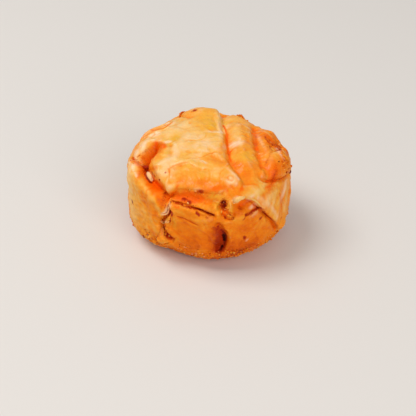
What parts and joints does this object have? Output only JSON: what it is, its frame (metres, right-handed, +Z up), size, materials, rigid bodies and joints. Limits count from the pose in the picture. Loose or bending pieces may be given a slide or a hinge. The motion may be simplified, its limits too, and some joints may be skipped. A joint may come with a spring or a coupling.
{
  "type": "bread twist",
  "caption": "Squat round baked bread twist of folded, laminated dough with overlapping sheets, creases and a flat underside.",
  "frame": {"origin": "middle of the flat underside", "axes": "+Z up from the underside to the domed top, -Y towards the shown front, +X to the right of it"},
  "size_m": [0.096, 0.0996, 0.0596],
  "materials": {
    "crust": "satin"
  },
  "bodies": {
    "root": {"bread_twist": "crust"}
  },
  "joints": []
}
